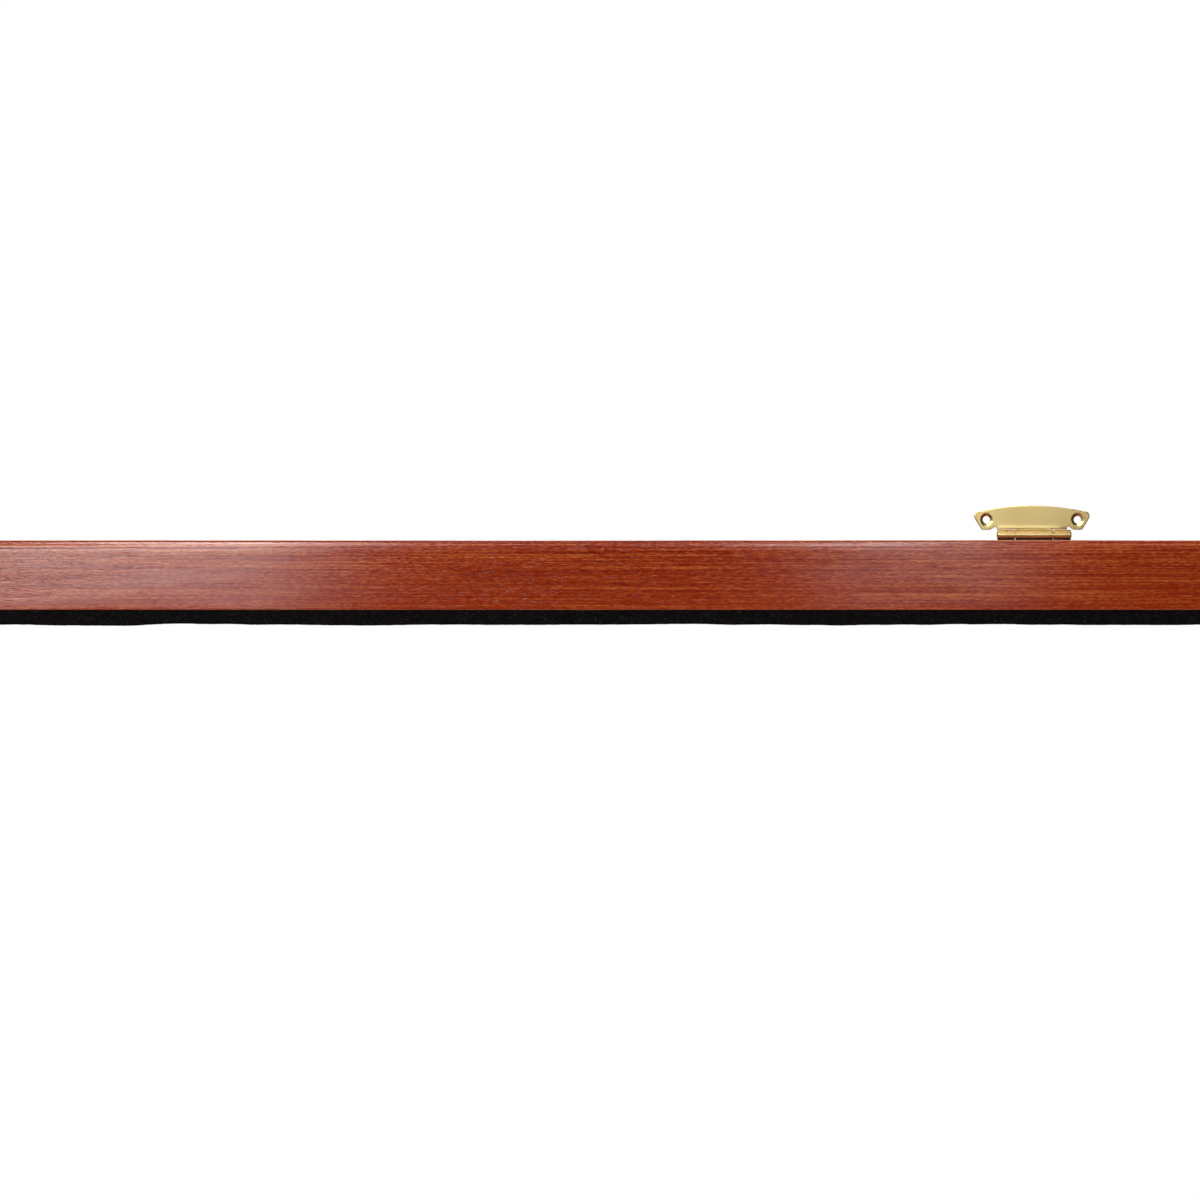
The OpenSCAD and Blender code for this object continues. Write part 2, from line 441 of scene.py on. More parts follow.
def mahogany(name, along="x"):
    """Red-brown wood laminate under satin lacquer, with its grain along X or Z."""
    s = Surface(name, Roughness=0.6, Specular_IOR_Level=0.0, Coat_Weight=1.0, Coat_IOR=1.5)
    drift = s.noise(s.scaled(3, 12, 12), detail=2.0, rough=0.5, output="Color")
    drift = s.vector("SUBTRACT", drift, (0.5, 0.5, 0.5))
    drift = s.vector("MULTIPLY", drift, (GRAIN_DRIFT, GRAIN_DRIFT, GRAIN_DRIFT))
    s.place = s.vector("ADD", s.place, drift)

    def grain(length_mm, width_mm, shift=0.0):
        """Coordinates whose lumps are length_mm long with the grain and width_mm across it."""
        lengthwise, across = 1000 / length_mm, 1000 / width_mm
        scale = (lengthwise, across, across) if along == "x" else (across, across, lengthwise)
        return s.scaled(*scale, shift=shift)

    figure = s.noise(grain(300, 12), detail=2.0)
    lines = s.noise(grain(240, 0.95, 17.0), detail=2.0, rough=0.6)
    streaks = s.noise(grain(26, 0.9, 3.0), detail=2.0)
    flecks = s.noise(grain(3.4, 0.7, 7.0), detail=2.0, rough=0.6)
    pores = s.noise(grain(4.2, 0.42, 11.0), detail=1.0)

    # The layers' shares in the contrast, which grows towards the top of the rail
    contrast = 0.0
    for part, share in ((figure, 0.35), (lines, 1.15), (streaks, 0.5), (flecks, 1.15)):
        contrast = s.maths("ADD", contrast, s.maths("MULTIPLY", s.maths("SUBTRACT", part, 0.5), share))
    strength = s.ramp(s.height(), RAIL_BOTTOM, RAIL_TOP, 0.6, 1.05)
    tone = s.maths("ADD", 0.5, s.maths("MULTIPLY", contrast, strength))
    colour = s.blend(s.ramp(tone, 0.5, 0.9), WOOD_GROUND, WOOD_LIGHT)
    colour = s.blend(s.ramp(tone, 0.5, 0.15), colour, WOOD_DARK)
    pore = s.ramp(pores, 0.65, 0.73)
    colour = s.blend(s.maths("MULTIPLY", pore, 0.55), colour, WOOD_PORE)

    # Long ripples in the laminate, fine relief of the grain, and lacquer that is thinner over darker grain
    ripple = s.noise(s.scaled(8, 45, 45), detail=1.0)
    normal = s.bump(ripple, 0.6 * MM, 0.25)
    normal = s.bump(s.maths("SUBTRACT", flecks, pore), 0.04 * MM, 0.6, onto=normal)
    gloss = s.ramp(flecks, 0.3, 0.7, 0.1, 0.16)
    lacquer = s.ramp(s.maths("ADD", s.maths("ADD", lines, streaks), flecks), 1.2, 1.8, 0.65, 1.0)
    coat = {"Coat_Normal": normal, "Coat_Roughness": gloss, "Coat_Weight": lacquer}
    return s.drive(Base_Color=colour, Normal=normal, **coat)


def fibreboard():
    """Raw sawn fibreboard: tan, speckled with darker fibres."""
    s = Surface("fibreboard", Roughness=0.85, Specular_IOR_Level=0.25)
    cloud = s.noise(s.scaled(60, 60, 60), detail=3.0)
    fibre = s.noise(s.scaled(700, 1400, 1400), detail=4.0, rough=0.7)
    fleck = s.noise(s.scaled(1800, 1800, 1800, shift=5), detail=2.0)
    colour = s.blend(s.ramp(cloud, 0.35, 0.65), rgb(158, 124, 88), rgb(176, 142, 104))
    colour = s.blend(s.ramp(fibre, 0.45, 0.75, 0.0, 0.6), colour, rgb(118, 86, 56))
    colour = s.blend(s.ramp(fleck, 0.62, 0.72, 0.0, 0.6), colour, rgb(84, 58, 38))
    normal = s.bump(s.maths("ADD", fibre, fleck), 0.12 * MM, 0.5)
    return s.drive(Base_Color=colour, Normal=normal)


def felt():
    """Dense black felt: matt, matted fibres, a faint grey nap at grazing angles."""
    nap = {"Sheen_Weight": 0.03, "Sheen_Roughness": 0.45, "Sheen_Tint": (0.7, 0.72, 0.75, 1)}
    s = Surface("black_felt", Roughness=0.95, Specular_IOR_Level=0.05, **nap)
    mat = s.noise(s.scaled(420, 420, 420), detail=3.0, distort=0.6)
    fibre = s.noise(s.scaled(2600, 2600, 2600, shift=2), detail=4.0, rough=0.75, distort=1.5)
    lint = s.noise(s.scaled(900, 900, 900, shift=9), detail=1.0, distort=2.0)
    colour = s.blend(s.ramp(mat, 0.35, 0.65), rgb(1, 1, 1), rgb(7, 5, 6))
    colour = s.blend(s.ramp(fibre, 0.45, 0.7, 0.0, 0.8), colour, rgb(21, 16, 18))
    colour = s.blend(s.ramp(lint, 0.62, 0.75, 0.0, 0.6), colour, rgb(70, 64, 66))
    normal = s.bump(mat, 0.5 * MM, 0.5)
    normal = s.bump(fibre, 0.25 * MM, 0.8, onto=normal)
    return s.drive(Base_Color=colour, Normal=normal)


# Height ranges over which the barrel's two bands of painted shade set in, from the upper and from the lower
# side
# Painted shade over the barrel's crest, which dims its highlight
CREST_SHADE_FROM_TOP = (PIN_Z + 3.3 * MM, PIN_Z + 2.9 * MM)
CREST_SHADE_FROM_BELOW = (PIN_Z + 0.3 * MM, PIN_Z + 1.0 * MM)
# Painted shade and painted dark reflection under the barrel and on the wing just below it, where it sits in
# shade over the rail
UNDER_BARREL_SHADE_FROM_TOP = (PIN_Z - 1.3 * MM, PIN_Z - 2.3 * MM)
UNDER_BARREL_SHADE_FROM_BELOW = (RAIL_TOP - 4 * MM, RAIL_TOP - 1.5 * MM)
# Colour and share of the painted shade over the crest
CREST_SHADE_COLOUR, CREST_SHADE_SHARE = rgb(132, 104, 58), 0.85
# Colour and share of the painted shade under the barrel
UNDER_BARREL_SHADE_COLOUR, UNDER_BARREL_SHADE_SHARE = rgb(66, 28, 12), 0.8


def brass(name, light, dark):
    """Plated sheet brass, satin, a little uneven, with painted shade on the barrel: a band that dims its
    crest's highlight and a darker band under it.
    """
    s = Surface(name, Metallic=1.0, Roughness=0.27)
    height = s.height()
    cloud = s.noise(s.scaled(50, 50, 50), detail=0.0)
    colour = s.blend(s.ramp(cloud, 0.2, 0.8), light, dark)
    # Painted shade that dims the highlight on the barrel's crest
    crest_shade = s.maths("MULTIPLY", s.ramp(height, *CREST_SHADE_FROM_TOP), s.ramp(height, *CREST_SHADE_FROM_BELOW))
    colour = s.blend(s.maths("MULTIPLY", crest_shade, CREST_SHADE_SHARE), colour, CREST_SHADE_COLOUR)
    # Painted shade and painted dark reflection under the barrel, where it sits in shade over the rail
    under_barrel_shade = s.maths("MULTIPLY", s.ramp(height, *UNDER_BARREL_SHADE_FROM_TOP), s.ramp(height, *UNDER_BARREL_SHADE_FROM_BELOW))
    colour = s.blend(s.maths("MULTIPLY", under_barrel_shade, UNDER_BARREL_SHADE_SHARE), colour, UNDER_BARREL_SHADE_COLOUR)
    return s.drive(Base_Color=colour)


MAHOGANY = mahogany("mahogany_laminate")
MAHOGANY_END = mahogany("mahogany_end", along="z")
FIBREBOARD = fibreboard()
FELT = felt()
BRASS = brass("brass", rgb(227, 204, 142), rgb(216, 191, 127))
PALE_BRASS = brass("pale_brass", rgb(236, 214, 158), rgb(220, 196, 134))

# ---- Rail ------------------------------------------------------------------------

# Axis of the rounded front edge
ROUND_Y = RAIL_FRONT + ROUND_STEP + ROUND_R
ROUND_Z = RAIL_TOP - ROUND_R


def outer_section():
    """The rail's outer line in (y, z), from the lower front edge up and over to the back of the top."""
    lower_rim, lip_h, crease = 0.55 * MM, 1.9 * MM, 0.1 * MM
    face_row, top_row = 6 * MM, 12 * MM
    points = arc((RAIL_FRONT + lower_rim, RAIL_BOTTOM + lower_rim), lower_rim, 270, 180, 4)
    face_top = ROUND_Z - lip_h
    points += line((RAIL_FRONT, RAIL_BOTTOM + lower_rim), (RAIL_FRONT, face_top), face_row)
    # The lip bends back from the flat front to a crease under the rounded edge
    for across, up in arc((1, 0), 1, 180, 105, 8):
        points.append((RAIL_FRONT + ROUND_STEP * across, face_top + lip_h * up))
    points += [(RAIL_FRONT + ROUND_STEP + crease, ROUND_Z - crease)]
    points += arc((ROUND_Y, ROUND_Z), ROUND_R, 180, 90, 20)
    points += line((ROUND_Y, RAIL_TOP), (0, RAIL_TOP), top_row)
    return without_repeats(points, closed=False)


def wrap_section():
    """Closed section of the laminate: the outer line and back along its inner face."""
    inner_step = ROUND_Z - LAMINATE
    inner_face = RAIL_FRONT + LAMINATE
    inner = [(0, RAIL_TOP - LAMINATE)]
    inner += arc((ROUND_Y, ROUND_Z), ROUND_R - LAMINATE, 90, 180, 8)
    inner += [(inner_face + ROUND_STEP, inner_step), (inner_face, inner_step), (inner_face, RAIL_BOTTOM)]
    return without_repeats(outer_section() + inner)


# Half the depth of the laminate's slow waves, their length, and the flat stretch beside a hinge
WAVE_DEPTH, WAVE_LENGTH, FLAT_AT_HINGE = 0.1 * MM, 0.11, 30 * MM
WAVE_SEED, WAVE_GAIN = 3.0, 1.3


def pressed_in(point):
    """How far the laminate lies inside its true place, in slow waves along the rail."""
    slow = fbm(point, WAVE_LENGTH, WAVE_SEED, 2)
    return WAVE_DEPTH * (1 + max(-1, min(1, WAVE_GAIN * slow)))


def settled(point):
    """A point of the laminate, drawn towards the rail's inside by its waves, but not next to a hinge."""
    gap = min(abs(point.x - x) for x in BARREL_X.values())
    depth = pressed_in(point) * min(1, max(0, gap / FLAT_AT_HINGE - 1))
    inwards = min(1, point.y / RAIL_FRONT)
    down = 1 if point.z > ROUND_Z else 0
    return Vector((point.x, point.y + depth * inwards, point.z - depth * down))


def notch_cutters():
    """Cutters for the laminate over every notch and hinge mortise."""
    cutters = []
    for i in range(1, CUE_COUNT + 1):
        low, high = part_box(f"cue_liner_{i}")
        cutters.append(box_cutter((low.x, low.y, low.z - MM), (high.x, high.y + MM, high.z + MM)))
    return cutters + [mortise_cutter(side) for side in SIDES]


def mortise_cutter(side):
    """Cutter for the recess that a rail wing lies in, its lower corners as round as the router bit."""
    low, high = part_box(f"hinge_{side}_rail_wing")
    slack, bit_r, top = 0.25 * MM, 1.5 * MM, RAIL_TOP + MM
    x0, x1, z0 = low.x - slack, high.x + slack, low.z - slack
    loop = [(x0, top), *arc((x0 + bit_r, z0 + bit_r), bit_r, 180, 270, 6)]
    loop += [*arc((x1 - bit_r, z0 + bit_r), bit_r, 270, 360, 6), (x1, top)]
    return new_object("cutter", slab(loop, [(0, -MM), (0, PLATE_T)], from_wall), None)


def make_wrap():
    """Laminate skin over the rail's front and top, with its notch and hinge cut-outs."""
    section = wrap_section()
    length, spacing = WRAP_HIGH.x - WRAP_LOW.x, 5 * MM
    steps = round(length / spacing)
    xs = [WRAP_LOW.x + length * k / steps for k in range(steps + 1)]
    bm = bmesh.new()
    loft(bm, [[settled(Vector((x, y, z))) for y, z in section] for x in xs])
    obj = new_object("laminate_skin", bm, MAHOGANY)
    cut(obj, notch_cutters(), smooth_deg=28)
    finish_piece(obj, RAIL, "mahogany_laminate", "rail_wrap")


def make_end_cap(side):
    """Cap over the rail's end, its outer rim eased and its inner one square to the laminate."""
    low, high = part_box(f"end_cap_{side}")
    loop = without_repeats(outer_section() + [(0, RAIL_BOTTOM)])
    rim = eased_stations(low.x, high.x, ease=0.45 * MM)
    half = len(rim) // 2
    if side == "right":
        stations = [(0, low.x), *rim[half:]]
    else:
        stations = [*rim[:half], (0, high.x)]
    obj = new_object(f"end_cover_{side}", slab(loop, stations, along_x), MAHOGANY_END)
    finish_piece(obj, RAIL, "mahogany_laminate", f"end_cap_{side}")


def make_block(k):
    """Fibreboard block between two notches, with eased edges and, under a hinge, its mortise."""
    node = f"rail_block_{k}"
    low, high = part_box(node)
    ease, half_height = 0.35 * MM, (high.z - low.z) / 2
    loop = [(low.x, low.y), (high.x, low.y), (high.x, high.y), (low.x, high.y)]
    bm = slab(loop, eased_stations(low.z, high.z, ease), lambda a, b, h: Vector((a, b, h)))
    upright = [e for e in bm.edges if abs(e.verts[0].co.z - e.verts[1].co.z) > half_height]
    bmesh.ops.bevel(bm, geom=upright, offset=ease, segments=3, affect="EDGES")
    obj = new_object(f"block_{k}", bm, FIBREBOARD)
    mortises = [mortise_cutter(side) for side in SIDES if low.x < BARREL_X[side] < high.x]
    if mortises:
        cut(obj, mortises)
    finish_piece(obj, RAIL, "fibreboard", node)


def paint_front_board():
    """The front board keeps its CAD shape, which the laminate hides, and gets its material."""
    materials = frame["nodes"]["front_board"].data.materials
    materials.clear()
    materials.append(FIBREBOARD)


# ---- Felt ------------------------------------------------------------------------


# The waves along the lower edge of the felt under the rail: height in mm, length in m, and drop in mm
EDGE_WAVE_MM, EDGE_WAVE_LENGTH, EDGE_DROP_MM = 0.85, 0.09, 0.45
EDGE_SEED = 1.7
# Height and size of the coarse and of the fine lumps of matted fibre, and how far all of them are set back
COARSE_LUMP, COARSE_SIZE = 0.16 * MM, 0.006
FINE_LUMP, FINE_SIZE = 0.07 * MM, 0.0018
SET_BACK = 0.12 * MM
# No point of a liner comes closer than this to the two ends of its middle line
LINER_END = 0.02 * MM
FELT_SMOOTH_DEG = 80


def felt_wave(x):
    """Height of the slow waves in the felt's lower edge."""
    return MM * (EDGE_WAVE_MM * fbm(Vector((x, 0, 0)), EDGE_WAVE_LENGTH, EDGE_SEED) - EDGE_DROP_MM)


def matted(point, normal, seed):
    """A felt surface point, moved by the lumps of the matted fibres."""
    coarse = COARSE_LUMP * fbm(point, COARSE_SIZE, seed, 2)
    fine = FINE_LUMP * fbm(point, FINE_SIZE, seed + 9, 2)
    return point + normal * (coarse + fine - SET_BACK)


def under_rail(seed, low, high):
    """Shapes a felt slab glued under the rail: flat on top, wavy and lumpy below its upper quarter."""

    def shape(point, normal):
        hang = min(1, (high.z - point.z) / (high.z - low.z))
        moved = point.lerp(matted(point, normal, seed), min(1, 4 * hang))
        return Vector((moved.x, moved.y, moved.z + hang * felt_wave(point.x)))

    return shape


def make_felt_under(node, name, seed):
    """Thick felt under the front board or a block, its lower edge uneven."""
    low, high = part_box(node)
    ease, cell = 0.9 * MM, (1.6 * MM, 1.6 * MM, 1.3 * MM)
    bm = felt_slab(low, high, ease, cell, under_rail(seed, low, high))
    obj = new_object(name, bm, FELT, FELT_SMOOTH_DEG)
    finish_piece(obj, RAIL, "black_felt", node)


# A liner's middle line: a side, a bend, the back, a bend and a side
BEND_R = LINER_BEND_R - LINER_T / 2
LINER_SIDE = NOTCH_DEPTH - LINER_BEND_R
LINER_BACK = NOTCH_WIDTH - 2 * LINER_BEND_R
LINER_BEND = BEND_R * math.pi / 2
LINER_LENGTH = 2 * LINER_SIDE + 2 * LINER_BEND + LINER_BACK


def round_the_notch(s, t):
    """(x, y) of a point of a liner, s along its middle line from the left mouth and t towards the notch."""
    turn_x, turn_y = NOTCH_WIDTH / 2 - LINER_BEND_R, -NOTCH_DEPTH + LINER_BEND_R
    if s > LINER_LENGTH / 2:
        x, y = round_the_notch(LINER_LENGTH - s, t)
        return -x, y
    if s <= LINER_SIDE:
        return -NOTCH_WIDTH / 2 + LINER_T / 2 + t, -s
    if s <= LINER_SIDE + LINER_BEND:
        a = math.pi + (s - LINER_SIDE) / BEND_R
        r = BEND_R - t
        return -turn_x + r * math.cos(a), turn_y + r * math.sin(a)
    return s - LINER_SIDE - LINER_BEND - turn_x, -NOTCH_DEPTH + LINER_T / 2 + t


def make_liner(i):
    """Felt strip folded into a notch."""
    low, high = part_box(f"cue_liner_{i}")
    centre = (low.x + high.x) / 2

    def shape(point, normal):
        p = matted(point, normal, 20.0 + i)
        s = min(max(p.x, LINER_END), LINER_LENGTH - LINER_END)
        x, y = round_the_notch(s, p.y)
        return Vector((centre + x, y, p.z))

    flat_low = Vector((0, -LINER_T / 2, low.z))
    flat_high = Vector((LINER_LENGTH, LINER_T / 2, high.z))
    ease, cell = 0.7 * MM, (1.3 * MM, 0.6 * MM, 1.3 * MM)
    obj = new_object(f"liner_{i}", felt_slab(flat_low, flat_high, ease, cell, shape), FELT, FELT_SMOOTH_DEG)
    finish_piece(obj, RAIL, "black_felt", f"cue_liner_{i}")


# ---- Hinges ----------------------------------------------------------------------

# The wall wing's outline in (u, z): u from the wing's middle, z from the line through its screw holes
ARCH_TOP, ARCH_R = 8.6 * MM, 145 * MM
CORNER_R, CORNER_X, CORNER_Z = 3 * MM, 32 * MM, 2.2 * MM
FOOT_R, FOOT_X, FOOT_Z = 1.5 * MM, 29.6 * MM, -4.6 * MM
EAR_INNER = (25.6 * MM, -6.1 * MM)
RELIEF_R, RELIEF_X, RELIEF_Z = 0.9 * MM, 22.3 * MM, -5.1 * MM
NECK_BOTTOM = -5.9 * MM
CENTRE_KNUCKLE = 22.8 * MM
KNUCKLE_GAP = 0.5 * MM
# The ridge pressed along the wing's lower edge
SWELL_Z, SWELL_WIDTH, SWELL_HEIGHT = -4.95 * MM, 0.95 * MM, 0.16 * MM
SWELL_END, SWELL_FADE = 21 * MM, 4 * MM
COUNTERSINK_R, COUNTERSINK_DEPTH = 3.8 * MM, 1.1 * MM
# Rounding of the wall wing's rims, and a narrow flat ring that keeps it out of the front's shading
FRONT_EASE, BACK_EASE, FLAT_RING = 0.42 * MM, 0.12 * MM, 0.18 * MM
# Rows of the grid on the wall wing's front, crowded towards its lower edge
FRONT_ROWS, CROWDING = 18, 0.8
# How much of a turn a knuckle's sheet makes round the pin
CURL_DEG = 297
# Small shapes stay this far inside the frame's solids
SKIN = 0.02 * MM
# Edges of the sheet brass and of its holes stay sharp from this angle
BRASS_SHARP_DEG = 32


def upper_edge():
    """Right half of the wing's upper edge in (u, z), from the ear's tip to the middle."""
    reach = math.degrees(math.asin((CORNER_X - MM) / ARCH_R))
    points = arc((CORNER_X, CORNER_Z), CORNER_R, 0, 78, 16)
    points += arc((0, ARCH_TOP - ARCH_R), ARCH_R, 90 - reach, 90, 24)
    return points


def lower_edge():
    """Right half of the wing's lower edge in (u, z), from the ear's tip to the middle."""
    tip = arc((CORNER_X, CORNER_Z), CORNER_R, 0, -28, 7)
    foot = arc((FOOT_X, FOOT_Z), FOOT_R, -30, -90, 6)
    relief = arc((RELIEF_X, RELIEF_Z), RELIEF_R, 10, 180, 14)
    neck = (relief[-1][0] - 0.1 * MM, NECK_BOTTOM)
    points = tip + line(tip[-1], foot[0], 0.3 * MM) + foot
    points += line(foot[-1], EAR_INNER, 0.6 * MM) + line(EAR_INNER, relief[0], 0.4 * MM) + relief
    points += [neck] + line(neck, (0, NECK_BOTTOM), 1.0 * MM)
    return without_repeats(points, closed=False)


def height_at(chain, u):
    """z of a chain of (u, z) points with falling u, at u."""
    for a, b in zip(chain, chain[1:]):
        if b[0] <= u <= a[0]:
            if a[0] - b[0] < SAME_PLACE:
                return a[1]
            return a[1] + (b[1] - a[1]) * (a[0] - u) / (a[0] - b[0])
    return chain[-1][1]


def wing_columns():
    """Pairs of upper and lower points across the wing, from its left tip to its right tip."""
    upper, lower = upper_edge(), lower_edge()
    least_gap = 0.04 * MM
    pairs, u_above = [], lower[0][0]
    for k, (u, z) in enumerate(lower):
        if k:
            u_above = max(0, min(u, u_above - least_gap))
        pairs.append(((u_above, height_at(upper, u_above)), (u, z)))
    right = pairs[::-1]
    left = [((-a[0], a[1]), (-b[0], b[1])) for a, b in pairs[:-1]]
    return left + right


def swell(u, z):
    """How far the pressed ridge above the knuckle stands out of the plate."""
    side = min(1, max(0, (SWELL_END - abs(u)) / SWELL_FADE))
    side = side * side * (3 - 2 * side)
    return SWELL_HEIGHT * side * math.exp(-(((z - SWELL_Z) / SWELL_WIDTH) ** 2))


def fill_ring(bm, ring, columns, rows, between):
    """Closes a ring of the wing's plate with rows of faces. between(j, t) is a point of column j."""
    grid = []
    for j in range(columns):
        top = ring[j]
        if j in (0, columns - 1):
            grid.append([top])
            continue
        inner = [bm.verts.new(between(j, (k / rows) ** CROWDING)) for k in range(1, rows)]
        grid.append([top, *inner, ring[2 * columns - 2 - j]])
    for a, b in zip(grid, grid[1:]):
        for k in range(rows):
            corners = [a[min(k, len(a) - 1)], a[min(k + 1, len(a) - 1)]]
            corners += [b[min(k + 1, len(b) - 1)], b[min(k, len(b) - 1)]]
            corners = list(dict.fromkeys(corners))
            if len(corners) > 2:
                bm.faces.new(corners)


def wing_plate(centre_x):
    """The flat arched plate of a wall wing, with rounded edges and a gridded front."""
    columns = wing_columns()
    count = len(columns)
    loop = [a for a, _ in columns] + [b for _, b in columns[-2:0:-1]]
    stations = [(BACK_EASE, 0), (0, BACK_EASE), (0, PLATE_T - FRONT_EASE)]
    for deg in (30, 60, 90):
        a = math.radians(deg)
        stations.append((FRONT_EASE * (1 - math.cos(a)), PLATE_T - FRONT_EASE + FRONT_EASE * math.sin(a)))
    stations.append((FRONT_EASE + FLAT_RING, PLATE_T))

    def place(u, z, y):
        lift = swell(u, z) if y > 0.9 * PLATE_T else 0
        return Vector((centre_x + u, -y - lift, z))

    flat = offset_loop(loop, FRONT_EASE + FLAT_RING)

    def on_front(j, t):
        (u0, z0), (u1, z1) = flat[j], flat[2 * count - 2 - j]
        return place(u0 + (u1 - u0) * t, z0 + (z1 - z0) * t, PLATE_T)

    bm = bmesh.new()
    rings = [[place(u, z, y) for u, z in offset_loop(loop, inset)] for inset, y in stations]
    verts = loft(bm, rings, close_ends=False)
    fill_ring(bm, verts[0], count, 1, None)
    fill_ring(bm, verts[-1], count, FRONT_ROWS, on_front)
    return bm


def curl_section(tail_z, up):
    """Closed (y, z) section of a plate that rolls round the pin, up = 1 above it or -1 below it."""
    outer, lip = BARREL_R - SKIN, 0.25 * MM
    outside = arc((PIN_Y, 0), outer, 0, -CURL_DEG, 64)
    inside = arc((PIN_Y, 0), KNUCKLE_BORE_R, -CURL_DEG, 0, 44)
    points = [(-SKIN, tail_z)] + outside[:-1]
    # The sheet's end, its outer corner cut off
    a = math.radians(-CURL_DEG)
    radial, along = Vector((math.cos(a), math.sin(a))), Vector((math.sin(a), -math.cos(a)))
    end = Vector((PIN_Y, 0)) + radial * outer
    points += [tuple(end - along * lip), tuple(end - radial * lip)]
    points += inside + [(-PLATE_T + SKIN, tail_z)]
    return [(y, PIN_Z + up * z) for y, z in points]


def curl(x0, x1, tail, up):
    """A rolled knuckle from x0 to x1, with its plate's tail reaching height tail above or below the pin."""
    section = without_repeats(curl_section(tail, up))
    bm = slab(section, eased_stations(x0, x1, ease=0.34 * MM), along_x)
    return new_object("knuckle", bm, BRASS)


def hole_cutter(x, z, profile):
    """Cutter turned round an axis square to the wall. profile is (radius, distance from the wall) pairs."""
    return new_object("cutter", lathe(profile, lambda a, b, h: Vector((x + a, -h, z + b)), 64), None)


def front_hole_cutter(x, z):
    """Cutter for a countersunk hole in a wall wing, opening towards the front."""
    lip = 0.12 * MM
    cone_end = PLATE_T - COUNTERSINK_DEPTH
    slope = (COUNTERSINK_R - HOLE_R) / COUNTERSINK_DEPTH
    profile = [
        (0, -MM),
        (HOLE_R, -MM),
        (HOLE_R, cone_end - lip),
        (HOLE_R + lip * 0.6, cone_end + lip * 0.4),
        (COUNTERSINK_R, PLATE_T),
        (COUNTERSINK_R + slope * MM, PLATE_T + MM),
        (0, PLATE_T + MM),
    ]
    return hole_cutter(x, z, profile)


def make_wall_wing(side):
    """Arched wing on the wall with two countersunk holes, rolled into the middle knuckle."""
    centre, barrel = WING_X[side], BARREL_X[side]
    obj = new_object(f"wall_leaf_{side}", wing_plate(centre), BRASS)
    half, tail = CENTRE_KNUCKLE / 2, 5 * MM
    cut(obj, [curl(barrel - half, barrel + half, tail, 1)], "UNION")
    holes = [front_hole_cutter(centre + s * HOLE_SPACING / 2, 0) for s in (-1, 1)]
    cut(obj, holes, smooth_deg=BRASS_SHARP_DEG)
    finish_piece(obj, WALL, "brass", f"hinge_{side}_wall_wing")


SCREW_HEAD_R, SCREW_SHANK_R, SCREW_LENGTH = 3.5 * MM, 1.75 * MM, 17 * MM
SCREW_X, SCREW_Z = 14 * MM, -27 * MM


def back_hole_cutter(x, z):
    """Cutter for a countersunk hole in the rail wing, opening towards the wall."""
    head, neck = SCREW_HEAD_R + 0.08 * MM, SCREW_HEAD_R - PLATE_T + 0.18 * MM
    profile = [(0, -MM), (head + MM, -MM), (head, 0)]
    profile += [(neck, PLATE_T - 0.1 * MM), (neck, 2 * PLATE_T), (0, 2 * PLATE_T)]
    return hole_cutter(x, z, profile)


def make_rail_wing(side):
    """Wing let into the rail's back, rolled into the two outer knuckles."""
    low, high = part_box(f"hinge_{side}_rail_wing")
    centre = (low.x + high.x) / 2
    window = CENTRE_KNUCKLE / 2 + KNUCKLE_GAP
    corner, notch_r, tail = 1.8 * MM, 0.8 * MM, 4.5 * MM
    tab_top, window_z = PIN_Z - 1.2 * MM, PIN_Z - BARREL_R + 0.1 * MM
    left, right = low.x, high.x
    # The plate with its two tabs, and the window for the middle knuckle between them
    loop = [(left, tab_top), *arc((left + corner, low.z + corner), corner, 180, 270, 8)]
    loop += [*arc((right - corner, low.z + corner), corner, 270, 360, 8), (right, tab_top)]
    loop += [(centre + window, tab_top)]
    loop += arc((centre + window - notch_r, window_z + notch_r), notch_r, 0, -90, 5)
    loop += arc((centre - window + notch_r, window_z + notch_r), notch_r, 270, 180, 5)
    loop += [(centre - window, tab_top)]
    stations = eased_stations(SKIN, PLATE_T - SKIN, ease=0.2 * MM)
    obj = new_object(f"rail_leaf_{side}", slab(without_repeats(loop), stations, from_wall), BRASS)
    # The knuckles are a little longer than their tabs, so that no faces coincide
    seam = window - 0.1 * MM
    for x0, x1 in ((left, centre - seam), (centre + seam, right)):
        cut(obj, [curl(x0, x1, tail, -1)], "UNION")
    holes = [back_hole_cutter(centre + s * SCREW_X, SCREW_Z) for s in (-1, 1)]
    cut(obj, holes, smooth_deg=BRASS_SHARP_DEG)
    finish_piece(obj, RAIL, "brass", f"hinge_{side}_rail_wing")


def make_pin(side):
    """Hinge pin with a domed, riveted head at each end."""
    low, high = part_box(f"hinge_{side}_pin")
    centre, half = (low.x + high.x) / 2, (high.x - low.x) / 2
    head_r, head_t = (high.z - low.z) / 2, 0.5 * MM
    right_end = [(PIN_R, half - head_t)]
    for deg in (0, 20, 40, 60, 78):
        a = math.radians(deg)
        right_end.append((head_r * math.cos(a), half - head_t + head_t * math.sin(a)))
    right_end.append((0, half))
    profile = [(r, -h) for r, h in reversed(right_end)] + right_end
    bm = lathe(profile, lambda a, b, h: Vector((centre + h, PIN_Y + a, PIN_Z + b)))
    obj = new_object(f"pin_{side}", bm, PALE_BRASS)
    finish_piece(obj, RAIL, "pale_brass", f"hinge_{side}_pin")


